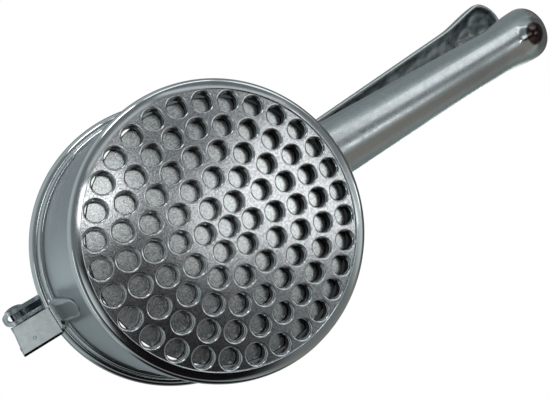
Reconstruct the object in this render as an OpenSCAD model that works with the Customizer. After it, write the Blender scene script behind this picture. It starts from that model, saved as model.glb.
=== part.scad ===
// Hand press for passatelli: a tapered cup with a perforated plate in its floor, and a hinged
// lever that pushes a disc down the cup. Millimetres, +Z up, +X towards the grips.
// The origin is at the centre of the flat underside of the cup's rim.

/* [Cup] */
// Outside radius of the wall at the floor
rim_r = 41.5; // [36:0.1:48]
// Outside radius of the wall at the mouth
mouth_r = 48.7; // [45:0.1:56]
// Height from the floor to the mouth
cup_h = 70; // [60:0.5:90]
// Thickness of the wall, measured level
wall_t = 2; // [1.6:0.1:2.6]
// Width of the ledge that the plate rests on
ledge_w = 1.25; // [0.7:0.05:2]
// Thickness of the floor ledge
ledge_t = 0.5; // [0.4:0.1:3]
// Radius of the rounded edge of the rim
rim_edge_r = 1; // [0.4:0.1:1.6]

/* [Rim ring] */
// Radius of the round bead at the mouth
bead_r = 2.3; // [1.8:0.1:3]
// How far the bead's middle stands out from the wall
bead_reach = 2.2; // [1.5:0.1:3]
// Radius of the small round bead below it
hoop_r = 1.25; // [0.9:0.05:1.6]
// How far the small bead's middle lies below the mouth
hoop_drop = 5.6; // [5:0.1:7]

/* [Die plate] */
// Thickness of the plate
plate_t = 3.4; // [2:0.1:5]
// Spacing of the rings of holes
hole_pitch = 7; // [6.6:0.1:7.2]
// Diameter of a hole
hole_d = 5.5; // [3:0.1:5.6]
// Width of the bevel round the lower edge of a hole
hole_bevel = 0.45; // [0.1:0.05:0.5]
// Turn of the hole pattern from the handle
plate_turn = 13; // [0:1:60]

/* [Grips] */
// Radius of a grip at its root
root_r = 12.9; // [11:0.1:14]
// Radius of a grip at its waist
waist_r = 10.5; // [9:0.1:12]
// Radius of a grip at its flared end
end_r = 12.4; // [10:0.1:14]
// Wall of a grip
grip_t = 1.8; // [1.2:0.1:2.6]
// How far a grip's edges reach past its middle
grip_lap = 3; // [1:0.1:5]
// Length from the waist to the end's widest place
flare_l = 25; // [18:0.5:36]
// Length of the domed end
dome_l = 9; // [7:0.5:14]

/* [Cup handle] */
// Distance from the cup's middle to the tip of the handle
handle_reach = 195; // [150:1:240]
// How far the handle's middle lies below the mouth
handle_drop = 12; // [10.5:0.5:20]
// Thickness of the pad between wall and handle
saddle_t = 2; // [1.2:0.1:3]
// How far the pad shows round the handle
saddle_margin = 2; // [0.5:0.1:2.4]

/* [Hinge] */
// Distance from the mouth's wall out to the hinge pin
hinge_out = 12.8; // [12:0.1:16]
// Height of the hinge pin above the mouth
hinge_rise = 2; // [1.5:0.5:6]
// Radius of the hinge pin
hinge_pin_r = 2; // [1.5:0.1:2.6]
// Radius of the lever's eyes
eye_r = 4.7; // [4:0.1:5.4]
// Radius of the bracket's knuckle
knuckle_r = 3.8; // [3.2:0.1:4.2]
// Thickness of the tongue
tongue_t = 2.8; // [2:0.1:4]
// Width of the tongue
tongue_w = 10.2; // [9.5:0.1:13]
// How far the tongue reaches to the side of the folded eye
tongue_side = 4.2; // [3:0.1:5]
// How much shorter the tongue is on the side of the folded eye
tongue_slant = 1.3; // [0:0.1:2]
// Radius of the tongue's rounded edges and corners
tongue_edge_r = 1.2; // [0.6:0.1:1.3]
// Width of the foot pad at its top
pad_w = 8.3; // [5:0.1:10]
// Width of the foot pad at its lower end
pad_foot_w = 4; // [3:0.1:8]
// How far the foot pad stands out at its top
pad_proud = 2.4; // [1.2:0.1:3]
// Height of the foot pad's lower end above the floor
pad_z = 15; // [8:1:40]

/* [Lever] */
// Height of the plunger pin above the hinge pin
pin_rise = 23; // [20:0.5:25]
// Radius of the plunger pin
plunger_pin_r = 2.5; // [2:0.1:3]
// Radius of the arm round the plunger pin
boss_r = 7.5; // [7:0.1:9]
// Thickness of the arm's sheet
arm_t = 1.4; // [1.2:0.1:2]
// Clear width between the arm's cheeks
arm_clear = 11.4; // [10.4:0.1:12]
// Gap between the two plies of the folded eye
fold_gap = 2.2; // [1:0.1:2.4]
// Length of the arm from the plunger pin to its tail
tail_l = 92; // [80:1:105]
// How far the tail lies below the plunger pin
tail_drop = 11; // [9:0.5:13]
// Radius of the arm at its tail
tail_r = 5; // [4:0.1:5.6]
// Distance from the cup's middle to the nose of the lever grip
nose_reach = 62; // [61:0.5:66]
// Length of the lever grip
lever_grip_l = 139; // [120:1:180]
// Height of the lever grip's middle above the mouth
grip_rise = 12; // [10:0.5:14]
// Turn of the lever grip to the side
grip_turn = 5.4; // [0:0.1:6]
// How far the lever grip's nose lies to the other side
nose_side = 0.1; // [-1:0.1:2]

/* [Plunger] */
// Gap between the disc's edge and the wall when closed
disc_clear = 2.3; // [2.2:0.1:4]
// Thickness of the disc
disc_t = 2; // [1.5:0.1:3]
// Height of the disc's upturned edge
skirt_h = 4; // [3:0.1:4.5]
// Gap between disc and die plate when closed
disc_gap = 0.9; // [0.3:0.05:1.2]
// Thickness of the yoke's strap
yoke_t = 2; // [1.5:0.1:2.4]
// Radius of the yoke's eyes
yoke_eye_r = 4.8; // [4.2:0.1:5]
// Width of the yoke at its foot
yoke_foot_w = 29; // [29:0.5:34]
// Radius of a rivet's shank
rivet_r = 1.6; // [1.2:0.1:1.8]
// Distance between the two rivets
rivet_span = 22; // [20:0.5:22]

/* [Hidden] */
$fn = 96;

// Fits and small clearances
plate_gap = 0.25;
seat_gap = 0.05;
weld_gap = 0.1;
side_gap = 0.1;
ply_gap = 0.3;
tight_fit = 0.02;
running_fit = 0.06;
// A length that reaches past whatever is cut
far = 400;

// Cup
wall_slope = (mouth_r - rim_r) / cup_h;
function wall_r(z) = rim_r + wall_slope * z;
wall_normal = sqrt(1 + wall_slope * wall_slope);
ledge_r = wall_r(ledge_t) - wall_t - ledge_w;
ledge_bevel = 0.4 * ledge_t;
arc_steps = 8;

// Die plate
plate_r = wall_r(ledge_t) - wall_t - plate_gap;
plate_top = ledge_t + plate_t;
hole_margin = 0.4;
hole_rings = floor((ledge_r - hole_margin - hole_d / 2) / hole_pitch);

// Rim ring
bead_z = cup_h - bead_r;
hoop_z = cup_h - hoop_drop;

// Grips
handle_z = cup_h - handle_drop;
grip_z = cup_h + grip_rise;
dome_power = 1.8;
grip_steps = 14;

// Hinge: the lever's fork has a folded eye on the -Y side and a single one on the +Y side
hinge_reach = mouth_r + hinge_out;
hinge_x = -hinge_reach;
hinge_z = cup_h + hinge_rise;
tongue_end = hinge_x - knuckle_r;
tongue_top = hoop_z - hoop_r - seat_gap;
tongue_y0 = -tongue_side;
tongue_y1 = tongue_y0 + tongue_w;
knuckle_y0 = tongue_y0 + side_gap;
fold_y1 = knuckle_y0 - ply_gap;
arm_y0 = fold_y1 - 2 * arm_t - fold_gap;
arm_y1 = arm_y0 + 2 * arm_t + arm_clear;
arm_mid = (arm_y0 + arm_y1) / 2;
knuckle_y1 = arm_y1 - arm_t - ply_gap;
pad_mid = (arm_y0 + tongue_y1) / 2;
mark_r = 0.9;
mark_x = hinge_x + knuckle_r / 2;
mark_y = tongue_y1 / 2 - mark_r;
mark_w = 0.25;
mark_deep = 0.2;
washer_t = 0.6;
fold_l = 12;
band_inset = 0.05;
head_t = 0.9;
head_lip = 1.2;
washer_lip = 1.6;

// Plunger
pin_z = hinge_z + pin_rise;
disc_z = plate_top + disc_gap;
disc_r = wall_r(ledge_t) - wall_t - disc_clear;
disc_edge_r = 1;
yoke_z = disc_z + disc_t;
plunger_washer_t = 0.7;
yoke_w = arm_clear - 2 * (plunger_washer_t + 2 * side_gap);
clip_t = 0.8;
clip_r = plunger_pin_r + washer_lip;
groove_depth = 0.4;
plunger_head_t = 1.4;
rivet_lip = 1.1;
rivet_head_r = rivet_r + rivet_lip;
rivet_head_t = rivet_r;
cheek_x = rivet_span / 2 - rivet_head_r - ply_gap;

// Colours of the plated steel, lighter or darker from piece to piece
bright = [0.72, 0.75, 0.77];
pale = [0.80, 0.83, 0.85];
grey = [0.58, 0.61, 0.64];

// Point list of an arc
function arc(x, y, r, a0, a1, n) = [
    for (i = [0 : n])
        let (a = a0 + (a1 - a0) * i / n)
        [x + r * cos(a), y + r * sin(a)]
];

// Solid cone that follows the outside of the cup's wall, grown level by more
module wall_cone(more) {
    cylinder(h = cup_h, r1 = rim_r + more, r2 = mouth_r + more);
}

// Two discs and the band between them, set in a little so that its edges cross the discs cleanly
module link(p, r, q, s) {
    r_in = r - band_inset;
    s_in = s - band_inset;
    d = norm(q - p);
    turn = atan2(q[1] - p[1], q[0] - p[0]);
    lean = acos((r - s) / d);
    up = turn + lean;
    down = turn - lean;
    translate(p) circle(r);
    translate(q) circle(s);
    polygon([
        p + r_in * [cos(down), sin(down)],
        q + s_in * [cos(down), sin(down)],
        q + s_in * [cos(up), sin(up)],
        p + r_in * [cos(up), sin(up)]
    ]);
}

// Extrudes a side view drawn in X and Z between two Y positions
module side_plate(y0, y1) {
    translate([0, y1, 0]) rotate([90, 0, 0]) linear_extrude(y1 - y0) children();
}

// Round bar along Y between two Y positions
module bar_y(x, z, r, y0, y1) {
    translate([x, y0, z]) rotate([-90, 0, 0]) cylinder(h = y1 - y0, r = r);
}

// Radius of a grip: straight taper to the waist, then a smooth flare
function flare(u) = u * u * (3 - 2 * u);
function shank_r(s, waist_s) = s < waist_s
    ? root_r + (waist_r - root_r) * s / waist_s
    : waist_r + (end_r - waist_r) * flare((s - waist_s) / flare_l);
function dome(u) = pow(1 - pow(u, dome_power), 1 / dome_power);

// Half outline of a grip of a length, drawn inset from its outside, with an open or a domed root
function grip_outline(len, inset, nose_l) =
    let (widest_s = len - dome_l, waist_s = widest_s - flare_l)
    concat(
        nose_l > 0
            ? [for (i = [0 : grip_steps]) let (u = 1 - i / grip_steps)
                [(root_r - inset) * dome(u), nose_l - (nose_l - inset) * u]]
            : [[0, 0], [root_r - inset, 0]],
        [[waist_r - inset, waist_s]],
        [for (i = [1 : grip_steps]) let (s = waist_s + flare_l * i / grip_steps)
            [shank_r(s, waist_s) - inset, s]],
        [for (i = [1 : grip_steps]) let (u = i / grip_steps)
            [(end_r - inset) * dome(u), widest_s + (dome_l - inset) * u]]
    );

// Channel grip along +X from its root: a hollow turned shape with its upper part cut away
module grip_channel(len, nose_l) {
    difference() {
        rotate([0, 90, 0]) rotate_extrude() polygon(grip_outline(len, 0, nose_l));
        rotate([0, 90, 0]) rotate_extrude() polygon(grip_outline(len, grip_t, nose_l));
        translate([-far / 2, -far / 2, grip_lap]) cube(far);
    }
}

module cup() {
    edge_x = rim_r + wall_slope * rim_edge_r - rim_edge_r * wall_normal;
    edge_end = -atan(wall_slope);
    color(bright) rotate_extrude() polygon(concat(
        [[ledge_r, ledge_bevel], [ledge_r + ledge_bevel, 0]],
        arc(edge_x, rim_edge_r, rim_edge_r, -90, edge_end, arc_steps),
        [[mouth_r, cup_h], [mouth_r - wall_t, cup_h]],
        [[wall_r(ledge_t) - wall_t, ledge_t], [ledge_r, ledge_t]]
    ));
}

module rim_ring() {
    bead_x = wall_r(bead_z) + bead_reach;
    hoop_x = wall_r(hoop_z) + hoop_r / 2;
    color(pale) rotate_extrude() difference() {
        union() {
            translate([bead_x, bead_z]) circle(bead_r);
            translate([hoop_x, hoop_z]) circle(hoop_r);
            polygon([[rim_r, hoop_z], [hoop_x, hoop_z], [bead_x, bead_z], [bead_x, cup_h], [rim_r, cup_h]]);
        }
        polygon([
            [0, 0], [rim_r + seat_gap, 0], [mouth_r + seat_gap, cup_h],
            [mouth_r + seat_gap, cup_h + bead_r], [0, cup_h + bead_r]
        ]);
    }
}

module die_hole() {
    translate([0, 0, -far / 2]) cylinder(h = far, d = hole_d);
    translate([0, 0, ledge_t - hole_bevel])
        cylinder(h = 2 * hole_bevel, d1 = hole_d + 4 * hole_bevel, d2 = hole_d);
}

module die_plate() {
    color(bright) difference() {
        translate([0, 0, ledge_t]) cylinder(h = plate_t, r = plate_r);
        die_hole();
        for (ring = [1 : hole_rings], k = [0 : 6 * ring - 1])
            rotate(plate_turn + 60 * k / ring) translate([ring * hole_pitch, 0, 0]) die_hole();
    }
}

module handle_saddle() {
    saddle_r = root_r + saddle_margin;
    color(bright) intersection() {
        difference() {
            wall_cone(saddle_t);
            wall_cone(seat_gap);
        }
        translate([0, 0, handle_z]) rotate([0, 90, 0]) cylinder(h = far, r = saddle_r);
        translate([0, -far / 2, 0]) cube([far, far, handle_z + grip_lap]);
    }
}

module cup_handle() {
    color(bright) difference() {
        translate([rim_r, 0, handle_z]) grip_channel(handle_reach - rim_r, 0);
        wall_cone(saddle_t + seat_gap);
    }
}

// Middle of the round at a free corner of the tongue, a distance in from its shorter side
function tongue_corner(y) =
    let (lean = atan(tongue_slant / tongue_w))
    [tongue_end + tongue_slant + (tongue_edge_r - y * sin(lean)) / cos(lean), tongue_y0 + y];

// Outline of the tongue seen from below, with a slanted end and its two free corners rounded
module tongue_plan() {
    turn = 180 + atan(tongue_slant / tongue_w);
    short_side = tongue_corner(tongue_edge_r);
    long_side = tongue_corner(tongue_w - tongue_edge_r);
    polygon(concat(
        [[0, tongue_y0], [0, tongue_y1]],
        arc(long_side[0], long_side[1], tongue_edge_r, 90, turn, arc_steps),
        arc(short_side[0], short_side[1], tongue_edge_r, turn, 270, arc_steps)
    ));
}

// Section across the tongue, with its lower edges rounded
module tongue_section() {
    translate([tongue_y0, tongue_edge_r]) square([tongue_w, tongue_t - tongue_edge_r]);
    translate([tongue_y0 + tongue_edge_r, 0]) square([tongue_w - 2 * tongue_edge_r, tongue_t]);
    for (y = [tongue_y0 + tongue_edge_r, tongue_y1 - tongue_edge_r])
        translate([y, tongue_edge_r]) circle(tongue_edge_r);
}

// Foot pad seen from the hinge, narrower towards its lower end
module pad_front() {
    polygon([
        [-pad_foot_w / 2, pad_z], [pad_foot_w / 2, pad_z], [pad_w / 2, tongue_top], [-pad_w / 2, tongue_top]
    ]);
}

module hinge_bracket() {
    low = tongue_top - tongue_t;
    pad_x = -wall_r(low) - pad_proud;
    color(pale) difference() {
        union() {
            intersection() {
                translate([0, 0, low]) linear_extrude(tongue_t) tongue_plan();
                translate([-far, 0, low]) rotate([90, 0, 90]) linear_extrude(far) tongue_section();
            }
            intersection() {
                side_plate(pad_mid - pad_w / 2, pad_mid + pad_w / 2) polygon([
                    [0, pad_z], [-wall_r(pad_z), pad_z], [pad_x, low], [pad_x, tongue_top], [0, tongue_top]
                ]);
                translate([-far, pad_mid, 0]) rotate([90, 0, 90]) linear_extrude(far) pad_front();
            }
            side_plate(knuckle_y0, knuckle_y1) {
                translate([hinge_x, hinge_z]) circle(knuckle_r);
                translate([tongue_end + tongue_slant, tongue_top - tongue_t / 2])
                    square([2 * knuckle_r - tongue_slant, hinge_z - tongue_top + tongue_t / 2]);
            }
        }
        wall_cone(seat_gap);
        bar_y(hinge_x, hinge_z, hinge_pin_r + tight_fit, -far / 2, far / 2);
        translate([mark_x, mark_y, low - mark_deep]) difference() {
            cylinder(h = 2 * mark_deep, r = mark_r);
            cylinder(h = 2 * mark_deep, r = mark_r - mark_w);
        }
    }
}

// Shallow domed head that rises along +Z
module dome_head(r, t) {
    ball_r = (r * r + t * t) / (2 * t);
    rise = asin((ball_r - t) / ball_r);
    rotate_extrude() polygon(concat([[0, 0]], arc(0, t - ball_r, ball_r, rise, 90, arc_steps)));
}

module hinge_pin() {
    peen_y = arm_y1 + washer_t + 2 * side_gap;
    head_r = hinge_pin_r + head_lip;
    color(grey) union() {
        bar_y(hinge_x, hinge_z, hinge_pin_r, arm_y0 - side_gap, peen_y);
        translate([hinge_x, arm_y0 - side_gap, hinge_z]) rotate([90, 0, 0]) dome_head(head_r, head_t);
        translate([hinge_x, peen_y, hinge_z]) rotate([-90, 0, 0]) dome_head(head_r, head_t);
    }
}

module hinge_washer() {
    y0 = arm_y1 + side_gap;
    color(grey) difference() {
        bar_y(hinge_x, hinge_z, hinge_pin_r + washer_lip, y0, y0 + washer_t);
        bar_y(hinge_x, hinge_z, hinge_pin_r + running_fit, y0 - far, y0 + far);
    }
}

// Side view of the lever arm, from the hinge over the plunger pin to the tail, grown by more
module arm_side(more) {
    link([hinge_x, hinge_z], eye_r + more, [0, pin_z], boss_r + more);
    link([0, pin_z], boss_r + more, [tail_l, pin_z - tail_drop], tail_r + more);
}

// Everything under the middle line of the arm
module under_arm() {
    polygon([
        [hinge_x - far, hinge_z], [hinge_x, hinge_z], [0, pin_z], [tail_l, pin_z - tail_drop],
        [tail_l + far, pin_z - tail_drop], [tail_l + far, -far], [hinge_x - far, -far]
    ]);
}

// Plan of the folded eye: two plies joined by a round bend at the free end
module fold_plan() {
    fold_w = fold_y1 - arm_y0;
    bend_x = hinge_x - eye_r + fold_w / 2;
    difference() {
        union() {
            translate([bend_x, arm_y0]) square([far, fold_w]);
            translate([bend_x, arm_y0 + fold_w / 2]) circle(fold_w / 2);
        }
        translate([bend_x, arm_y0 + arm_t]) square([far, fold_gap]);
        translate([bend_x, arm_y0 + fold_w / 2]) circle(fold_gap / 2);
    }
}

module lever_arm() {
    reach = norm([hinge_reach, pin_rise]);
    fold_end = [hinge_x, hinge_z] + fold_l / reach * [hinge_reach, pin_rise];
    color(pale) difference() {
        union() {
            difference() {
                side_plate(arm_y0, arm_y1) arm_side(0);
                side_plate(arm_y0 + arm_t, arm_y1 - arm_t) {
                    arm_side(-arm_t);
                    under_arm();
                }
                bar_y(hinge_x, hinge_z, eye_r + ply_gap, arm_y0 + arm_t, arm_y1 - arm_t);
                translate([hinge_x - far + eye_r, arm_y0 - far, 0]) cube([far, far + arm_t, far]);
            }
            intersection() {
                side_plate(arm_y0, fold_y1) link([hinge_x, hinge_z], eye_r, fold_end, eye_r);
                linear_extrude(far) fold_plan();
            }
        }
        bar_y(hinge_x, hinge_z, hinge_pin_r + running_fit, -far / 2, far / 2);
        bar_y(0, pin_z, plunger_pin_r + tight_fit, -far / 2, far / 2);
    }
}

module lever_grip() {
    color(bright) difference() {
        translate([nose_reach, nose_side, grip_z]) rotate([180, 0, -grip_turn])
            grip_channel(lever_grip_l, dome_l);
        side_plate(arm_y0 - weld_gap, arm_y1 + weld_gap) arm_side(weld_gap);
    }
}

module plunger_pin() {
    clip_y = arm_y1 + side_gap;
    end_y = clip_y + 2 * clip_t;
    color(grey) difference() {
        union() {
            bar_y(0, pin_z, plunger_pin_r, arm_y0 - side_gap, end_y);
            translate([0, arm_y0 - side_gap, pin_z]) rotate([90, 0, 0])
                dome_head(plunger_pin_r + washer_lip, plunger_head_t);
        }
        difference() {
            bar_y(0, pin_z, clip_r, clip_y, clip_y + clip_t);
            bar_y(0, pin_z, plunger_pin_r - groove_depth, clip_y, clip_y + clip_t);
        }
    }
}

module plunger_washers() {
    color(grey)
        for (y0 = [arm_y0 + arm_t + side_gap, arm_y1 - arm_t - side_gap - plunger_washer_t])
            difference() {
                bar_y(0, pin_z, plunger_pin_r + washer_lip, y0, y0 + plunger_washer_t);
                bar_y(0, pin_z, plunger_pin_r + running_fit, y0 - far, y0 + far);
            }
}

module plunger_clip() {
    y0 = arm_y1 + side_gap + side_gap / 2;
    mouth_w = plunger_pin_r;
    color(grey) difference() {
        bar_y(0, pin_z, clip_r, y0, y0 + clip_t - side_gap);
        bar_y(0, pin_z, plunger_pin_r - groove_depth + running_fit, y0 - far, y0 + far);
        translate([-mouth_w / 2, y0 - far / 2, pin_z]) cube([mouth_w, far, far]);
    }
}

// Bores for the rivets, through disc and yoke
module rivet_bores() {
    for (x = [-rivet_span / 2, rivet_span / 2])
        translate([x, arm_mid, 0]) cylinder(h = far, r = rivet_r + tight_fit);
}

module plunger_disc() {
    top = disc_z + skirt_h;
    inner_r = disc_r - disc_t;
    color(pale) difference() {
        rotate_extrude() polygon(concat(
            [[0, disc_z]],
            arc(disc_r - disc_edge_r, disc_z + disc_edge_r, disc_edge_r, -90, 0, arc_steps),
            [[disc_r, top], [inner_r, top], [inner_r, yoke_z], [0, yoke_z]]
        ));
        rivet_bores();
    }
}

module plunger_yoke() {
    y0 = arm_mid - yoke_w / 2;
    y1 = arm_mid + yoke_w / 2;
    color(pale) difference() {
        union() {
            for (y = [y0, y1 - yoke_t]) side_plate(y, y + yoke_t) {
                translate([0, pin_z]) circle(yoke_eye_r);
                polygon([[-cheek_x, yoke_z], [cheek_x, yoke_z], [yoke_eye_r, pin_z], [-yoke_eye_r, pin_z]]);
            }
            translate([-yoke_foot_w / 2, y0, yoke_z]) cube([yoke_foot_w, yoke_w, yoke_t]);
        }
        rivet_bores();
        bar_y(0, pin_z, plunger_pin_r + running_fit, -far / 2, far / 2);
    }
}

module plunger_rivets() {
    color(grey) for (x = [-rivet_span / 2, rivet_span / 2]) translate([x, arm_mid, 0]) {
        translate([0, 0, disc_z]) cylinder(h = disc_t + yoke_t, r = rivet_r);
        translate([0, 0, yoke_z + yoke_t]) dome_head(rivet_head_r, rivet_head_t);
    }
}

cup();
rim_ring();
die_plate();
handle_saddle();
cup_handle();
hinge_bracket();
hinge_pin();
hinge_washer();
lever_arm();
lever_grip();
plunger_pin();
plunger_washers();
plunger_clip();
plunger_disc();
plunger_yoke();
plunger_rivets();
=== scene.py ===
import math

import bmesh
import bpy
from mathutils import Matrix, Vector
from mathutils.geometry import tessellate_polygon


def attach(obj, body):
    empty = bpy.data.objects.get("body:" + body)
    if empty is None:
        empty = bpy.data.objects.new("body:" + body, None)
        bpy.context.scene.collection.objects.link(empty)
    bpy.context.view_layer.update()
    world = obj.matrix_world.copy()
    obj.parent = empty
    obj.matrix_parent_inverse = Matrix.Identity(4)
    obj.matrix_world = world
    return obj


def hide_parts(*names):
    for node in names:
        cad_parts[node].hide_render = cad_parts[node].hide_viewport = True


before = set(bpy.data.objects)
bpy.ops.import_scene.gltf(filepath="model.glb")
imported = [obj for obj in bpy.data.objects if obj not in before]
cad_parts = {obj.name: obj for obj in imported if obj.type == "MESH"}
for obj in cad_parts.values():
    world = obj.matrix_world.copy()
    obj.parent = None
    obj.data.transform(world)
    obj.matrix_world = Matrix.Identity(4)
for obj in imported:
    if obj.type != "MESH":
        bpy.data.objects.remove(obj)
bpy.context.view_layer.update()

# Cup
# A tapered bowl drawn from one disc of steel and plated with nickel.
# Its rounded foot is turned in to a narrow ledge that carries the perforated plate.
MM = 0.001
TURN_STEPS = 256
WALL = 2.0
FOOT_R = 41.5
FOOT_EDGE_R = 1.7
LIP_EDGE_R = 0.4
MOUTH_R = 48.7
CUP_H = 70.0
LEDGE_T = 0.5
LEDGE_R = 38.3
LEDGE_EDGE_R = 0.2
FOOT_H = 1.5
FOOT_LEAN = 0.02
# Heights over which the painted shade inside the cup fades out above its floor
SHADE_FULL_Z = 14.0
SHADE_END_Z = 40.0
SAME_SPOT = 0.001


def wall_r(z):
    """Outside radius of the cup's wall at a height."""
    return FOOT_R + (MOUTH_R - FOOT_R) * z / CUP_H


def rounded(corners, steps=6):
    """Closed outline from corners given as x, y and the radius of the round there."""
    outline = []
    for i, (x, y, radius) in enumerate(corners):
        here = Vector((x, y))
        before = (Vector(corners[i - 1][:2]) - here).normalized()
        after = (Vector(corners[(i + 1) % len(corners)][:2]) - here).normalized()
        half = before.angle(after) / 2
        if radius == 0:
            outline.append((x, y))
            continue
        centre = here + (before + after).normalized() * (radius / math.sin(half))
        start = here + before * (radius / math.tan(half)) - centre
        end = here + after * (radius / math.tan(half)) - centre
        sweep = start.angle_signed(end)
        for k in range(steps + 1):
            turn = Matrix.Rotation(-sweep * k / steps, 2)
            outline.append(tuple(centre + turn @ start))
    return outline


def lathe(outline):
    """Vertices and faces of a closed outline of radius and height turned round Z."""
    count = len(outline)
    verts = []
    faces = []
    for i in range(TURN_STEPS):
        angle = math.tau * i / TURN_STEPS
        verts += [(r * math.cos(angle), r * math.sin(angle), z) for r, z in outline]
        here = i * count
        there = (i + 1) % TURN_STEPS * count
        for k in range(count):
            m = (k + 1) % count
            faces.append((here + k, there + k, there + m, here + m))
    return verts, faces


def dress(piece, finishes, sharp):
    """Gives a piece its finishes, smooth faces and normals that keep its flats flat."""
    piece.data.materials.clear()
    for finish in finishes:
        piece.data.materials.append(finish)
    piece.data.shade_smooth()
    piece.data.set_sharp_from_angle(angle=math.radians(sharp))
    normals = piece.modifiers.new("flat_normals", "WEIGHTED_NORMAL")
    normals.keep_sharp = True


def add_piece(name, body, node, shape, finishes, place=Matrix(), sharp=40):
    """Mesh piece in millimetres that rides on a body and stands for a CAD node."""
    verts, faces = shape
    mesh = bpy.data.meshes.new(name)
    mesh.from_pydata([place @ Vector(v) * MM for v in verts], [], faces)
    work = bmesh.new()
    work.from_mesh(mesh)
    bmesh.ops.remove_doubles(work, verts=work.verts, dist=SAME_SPOT * MM)
    bmesh.ops.recalc_face_normals(work, faces=work.faces)
    work.to_mesh(mesh)
    work.free()
    piece = bpy.data.objects.new(name, mesh)
    dress(piece, finishes, sharp)
    bpy.context.scene.collection.objects.link(piece)
    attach(piece, body)
    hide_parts(node)
    return piece


def linear(code):
    """Linear colour of an sRGB hex code."""
    parts = [int(code[i : i + 2], 16) / 255 for i in (1, 3, 5)]
    return tuple(c / 12.92 if c <= 0.04045 else ((c + 0.055) / 1.055) ** 2.4 for c in parts) + (1.0,)


def add_node(tree, kind, settings=None, **links):
    """Adds a node; settings are its own values, or its inputs' values or sockets to join to them."""
    node = tree.nodes.new(kind)
    for key, value in (settings or {}).items():
        if isinstance(key, str) and key not in node.inputs:
            setattr(node, key, value)
        elif isinstance(value, bpy.types.NodeSocket):
            tree.links.new(value, node.inputs[key])
        else:
            node.inputs[key].default_value = value
    for key, socket in links.items():
        tree.links.new(socket, node.inputs[key.replace("_", " ")])
    return node


def new_finish(name):
    """Empty node tree of a new metal, with its shader, output and object coordinates."""
    finish = bpy.data.materials.new(name)
    finish.use_nodes = True
    tree = finish.node_tree
    tree.nodes.clear()
    shader = add_node(tree, "ShaderNodeBsdfPrincipled", {"Metallic": 1.0})
    add_node(tree, "ShaderNodeOutputMaterial", Surface=shader.outputs["BSDF"])
    place = add_node(tree, "ShaderNodeTexCoord").outputs["Object"]
    return finish, tree, shader, place


# Nickel plating over drawn steel: a soft, slightly cloudy mirror with a faint orange peel
satin_nickel, tree, shader, place = new_finish("satin_nickel_plate")
cloud = add_node(tree, "ShaderNodeTexNoise", {"Scale": 1 / (14 * MM), "Detail": 3.0}, Vector=place)
tint = add_node(tree, "ShaderNodeValToRGB", Fac=cloud.outputs["Fac"])
tint.color_ramp.elements[0].color = linear("#C9D2D8")
tint.color_ramp.elements[1].color = linear("#D6DDE1")
haze = add_node(tree, "ShaderNodeMapRange", {"To Min": 0.24, "To Max": 0.34}, Value=cloud.outputs["Fac"])
peel = add_node(tree, "ShaderNodeTexNoise", {"Scale": 1 / (1.2 * MM), "Detail": 2.0}, Vector=place)
bump = add_node(tree, "ShaderNodeBump", {
    "Strength": 0.1, "Distance": 0.04 * MM,
}, Height=peel.outputs["Fac"])
tree.links.new(tint.outputs["Color"], shader.inputs["Base Color"])
tree.links.new(haze.outputs["Result"], shader.inputs["Roughness"])
tree.links.new(bump.outputs["Normal"], shader.inputs["Normal"])

# The same plating where it was buffed, on the foot: a clear mirror with soft cloudy wear
bright_nickel, tree, shader, place = new_finish("bright_nickel_plate")
cloud = add_node(tree, "ShaderNodeTexNoise", {"Scale": 1 / (6 * MM), "Detail": 4.0}, Vector=place)
tint = add_node(tree, "ShaderNodeValToRGB", Fac=cloud.outputs["Fac"])
tint.color_ramp.elements[0].color = linear("#CDD3D6")
tint.color_ramp.elements[1].color = linear("#DEE3E4")
haze = add_node(tree, "ShaderNodeMapRange", {"To Min": 0.05, "To Max": 0.12}, Value=cloud.outputs["Fac"])
tree.links.new(tint.outputs["Color"], shader.inputs["Base Color"])
tree.links.new(haze.outputs["Result"], shader.inputs["Roughness"])

# The same plating inside the cup and the grips, dull and cloudy: its darker tone is painted shade in the
# hollows, and it is painted darker still towards the cup's floor as shade
shaded_inner_nickel, tree, shader, place = new_finish("nickel_plate_with_painted_shade")
cloud = add_node(tree, "ShaderNodeTexNoise", {"Scale": 1 / (5 * MM), "Detail": 4.0}, Vector=place)
tint = add_node(tree, "ShaderNodeValToRGB", Fac=cloud.outputs["Fac"])
tint.color_ramp.elements[0].position = 0.35
tint.color_ramp.elements[0].color = linear("#868C8F")
tint.color_ramp.elements[1].position = 0.7
tint.color_ramp.elements[1].color = linear("#D6DBDC")
haze = add_node(tree, "ShaderNodeMapRange", {"To Min": 0.2, "To Max": 0.4}, Value=cloud.outputs["Fac"])
height = add_node(tree, "ShaderNodeSeparateXYZ", Vector=place).outputs["Z"]
unshaded = add_node(tree, "ShaderNodeMapRange", {
    "From Min": SHADE_FULL_Z * MM, "From Max": SHADE_END_Z * MM,
}, Value=height)
# Painted shade: near black at the cup's floor, fading to the plain tone higher up
shade = add_node(tree, "ShaderNodeMix", {"data_type": "RGBA", 0: unshaded.outputs["Result"]})
shade.inputs[6].default_value = linear("#1E2021")
tree.links.new(tint.outputs["Color"], shade.inputs[7])
tree.links.new(shade.outputs[2], shader.inputs["Base Color"])
tree.links.new(haze.outputs["Result"], shader.inputs["Roughness"])

cup = add_piece("cup_wall", "cup_body", "cup", lathe(rounded([
    (LEDGE_R, 0, LEDGE_EDGE_R),
    (FOOT_R, FOOT_LEAN, FOOT_EDGE_R),
    (MOUTH_R, CUP_H, LIP_EDGE_R),
    (MOUTH_R - WALL, CUP_H, LIP_EDGE_R),
    (wall_r(LEDGE_T) - WALL, LEDGE_T, 0),
    (LEDGE_R, LEDGE_T, 0),
])), [satin_nickel, bright_nickel, shaded_inner_nickel])
# The foot takes the buffed finish, and faces looking inwards take the finish with painted shade
for face in cup.data.polygons:
    if face.center.z < FOOT_H * MM:
        face.material_index = 1
    elif face.normal.dot(face.center * Vector((1, 1, 0))) < 0:
        face.material_index = 2

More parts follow.
